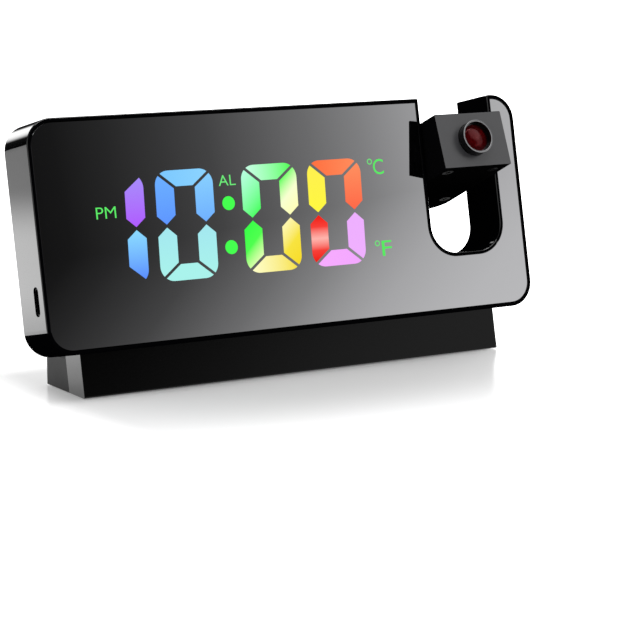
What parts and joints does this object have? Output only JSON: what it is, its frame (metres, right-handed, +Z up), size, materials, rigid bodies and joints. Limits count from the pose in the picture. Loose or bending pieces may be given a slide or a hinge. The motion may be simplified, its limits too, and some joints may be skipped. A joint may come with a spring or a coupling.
{
  "type": "projection alarm clock",
  "caption": "Mirror-faced desk clock that leans back on a low base, with coloured digits and a projector head that turns in a slot at its upper right.",
  "frame": {"origin": "middle of the bounding box, on the table that the rubber feet stand on", "axes": "+X to the right as seen from the front, +Y to the rear, +Z up"},
  "size_m": [0.19, 0.0579, 0.0914],
  "materials": {
    "gloss_black_abs": "polished injection moulded ABS",
    "satin_black_abs": "spark-eroded fine texture",
    "smoked_mirror_acrylic": "half-silvered, mirror gloss",
    "white_reflector_abs": "matt",
    "diffuser_resin": "translucent cast resin",
    "black_carrier_film": "clear film with printed colours",
    "white_led_epoxy": "lit chips in clear epoxy",
    "solder_mask_board": "glass-epoxy board under solder mask",
    "black_chip_epoxy": "moulded epoxy",
    "nickel_plated_steel": "bright nickel",
    "natural_acetal": "as moulded",
    "black_acetal": "moulded, slight gloss",
    "red_tinted_acrylic": "optically clear",
    "clear_acrylic": "optically clear",
    "red_led_epoxy": "tinted clear epoxy",
    "black_rubber": "moulded"
  },
  "bodies": {
    "clock_body": {"front_housing": "gloss_black_abs", "mirror_panel": "smoked_mirror_acrylic", "rear_cover": "satin_black_abs", "display_film": "black_carrier_film", "display_reflector": "white_reflector_abs", "segment_diffusers": "diffuser_resin", "display_leds": "white_led_epoxy", "main_board": "solder_mask_board", "control_chip": "black_chip_epoxy", "key_switches": "black_chip_epoxy", "snooze_switch": "black_chip_epoxy", "buzzer": "black_chip_epoxy", "temperature_sensor": "black_chip_epoxy", "cell_holder": "black_chip_epoxy", "coin_cell": "nickel_plated_steel", "usb_shell": "nickel_plated_steel", "usb_tongue": "black_chip_epoxy", "hinge_bush_left": "natural_acetal", "hinge_bush_right": "natural_acetal", "base_front": "gloss_black_abs", "base_foot": "satin_black_abs", "base_plate": "satin_black_abs", "rubber_feet": "black_rubber", "case_screws": "nickel_plated_steel", "board_screws": "nickel_plated_steel", "body_screws": "nickel_plated_steel", "base_screws": "nickel_plated_steel"},
    "projector_head": {"projector_case": "satin_black_abs", "projector_bottom": "satin_black_abs", "projector_screws": "nickel_plated_steel", "hinge_pin_left": "nickel_plated_steel", "hinge_pin_right": "nickel_plated_steel", "hinge_clip_left": "nickel_plated_steel", "hinge_clip_right": "nickel_plated_steel", "friction_washer_left": "natural_acetal", "friction_washer_right": "natural_acetal", "slide_holder": "white_reflector_abs", "lcd_slide": "clear_acrylic", "condenser_lens": "clear_acrylic", "lamp_board": "solder_mask_board", "red_led": "red_led_epoxy"},
    "focus_ring": {"focus_ring": "black_acetal"},
    "lens_cell": {"lens_cell": "black_acetal", "projection_lens": "red_tinted_acrylic"},
    "snooze_bar": {"snooze_bar": "satin_black_abs"},
    "cell_hatch": {"cell_hatch": "satin_black_abs"},
    "key_projector": {"key_projector": "satin_black_abs"},
    "key_set": {"key_set": "satin_black_abs"},
    "key_down": {"key_down": "satin_black_abs"},
    "key_up": {"key_up": "satin_black_abs"},
    "key_alarm": {"key_alarm": "satin_black_abs"}
  },
  "joints": [
    {"name": "projector_turn", "type": "hinge", "parent": "clock_body", "child": "projector_head", "pos_m": [0.06945, -0.00452, 0.06963], "axis": [-1, 0, 0], "range_deg": [-10.7, 169.3]},
    {"name": "focus_turn", "type": "hinge", "parent": "projector_head", "child": "focus_ring", "pos_m": [0.06945, -0.00452, 0.06963], "axis": [0, -0.9304, 0.3665], "range_deg": [-60, 60]},
    {"name": "lens_slide", "type": "slide", "parent": "projector_head", "child": "lens_cell", "axis": [0, -0.9304, 0.3665], "range_m": [-0.0007, 0.0007]},
    {"name": "hatch_turn", "type": "hinge", "parent": "clock_body", "child": "cell_hatch", "pos_m": [0.024, 0.0009, 0.04467], "axis": [0, -0.9823, 0.1874], "range_deg": [0, 60]},
    {"name": "snooze_press", "type": "slide", "parent": "clock_body", "child": "snooze_bar", "axis": [0, -0.1874, -0.9823], "range_m": [0, 0.0006], "stiffness_N_per_m": 200, "springref_m": -0.0008},
    {"name": "key_projector_press", "type": "slide", "parent": "clock_body", "child": "key_projector", "axis": [0, -0.9823, 0.1874], "range_m": [0, 0.0006], "stiffness_N_per_m": 200, "springref_m": -0.0008},
    {"name": "key_set_press", "type": "slide", "parent": "clock_body", "child": "key_set", "axis": [0, -0.9823, 0.1874], "range_m": [0, 0.0006], "stiffness_N_per_m": 200, "springref_m": -0.0008},
    {"name": "key_down_press", "type": "slide", "parent": "clock_body", "child": "key_down", "axis": [0, -0.9823, 0.1874], "range_m": [0, 0.0006], "stiffness_N_per_m": 200, "springref_m": -0.0008},
    {"name": "key_up_press", "type": "slide", "parent": "clock_body", "child": "key_up", "axis": [0, -0.9823, 0.1874], "range_m": [0, 0.0006], "stiffness_N_per_m": 200, "springref_m": -0.0008},
    {"name": "key_alarm_press", "type": "slide", "parent": "clock_body", "child": "key_alarm", "axis": [0, -0.9823, 0.1874], "range_m": [0, 0.0006], "stiffness_N_per_m": 200, "springref_m": -0.0008}
  ],
  "couplings": [
    {"joint": "focus_turn", "follows": "lens_slide", "rad_per_m": 1495.9}
  ]
}
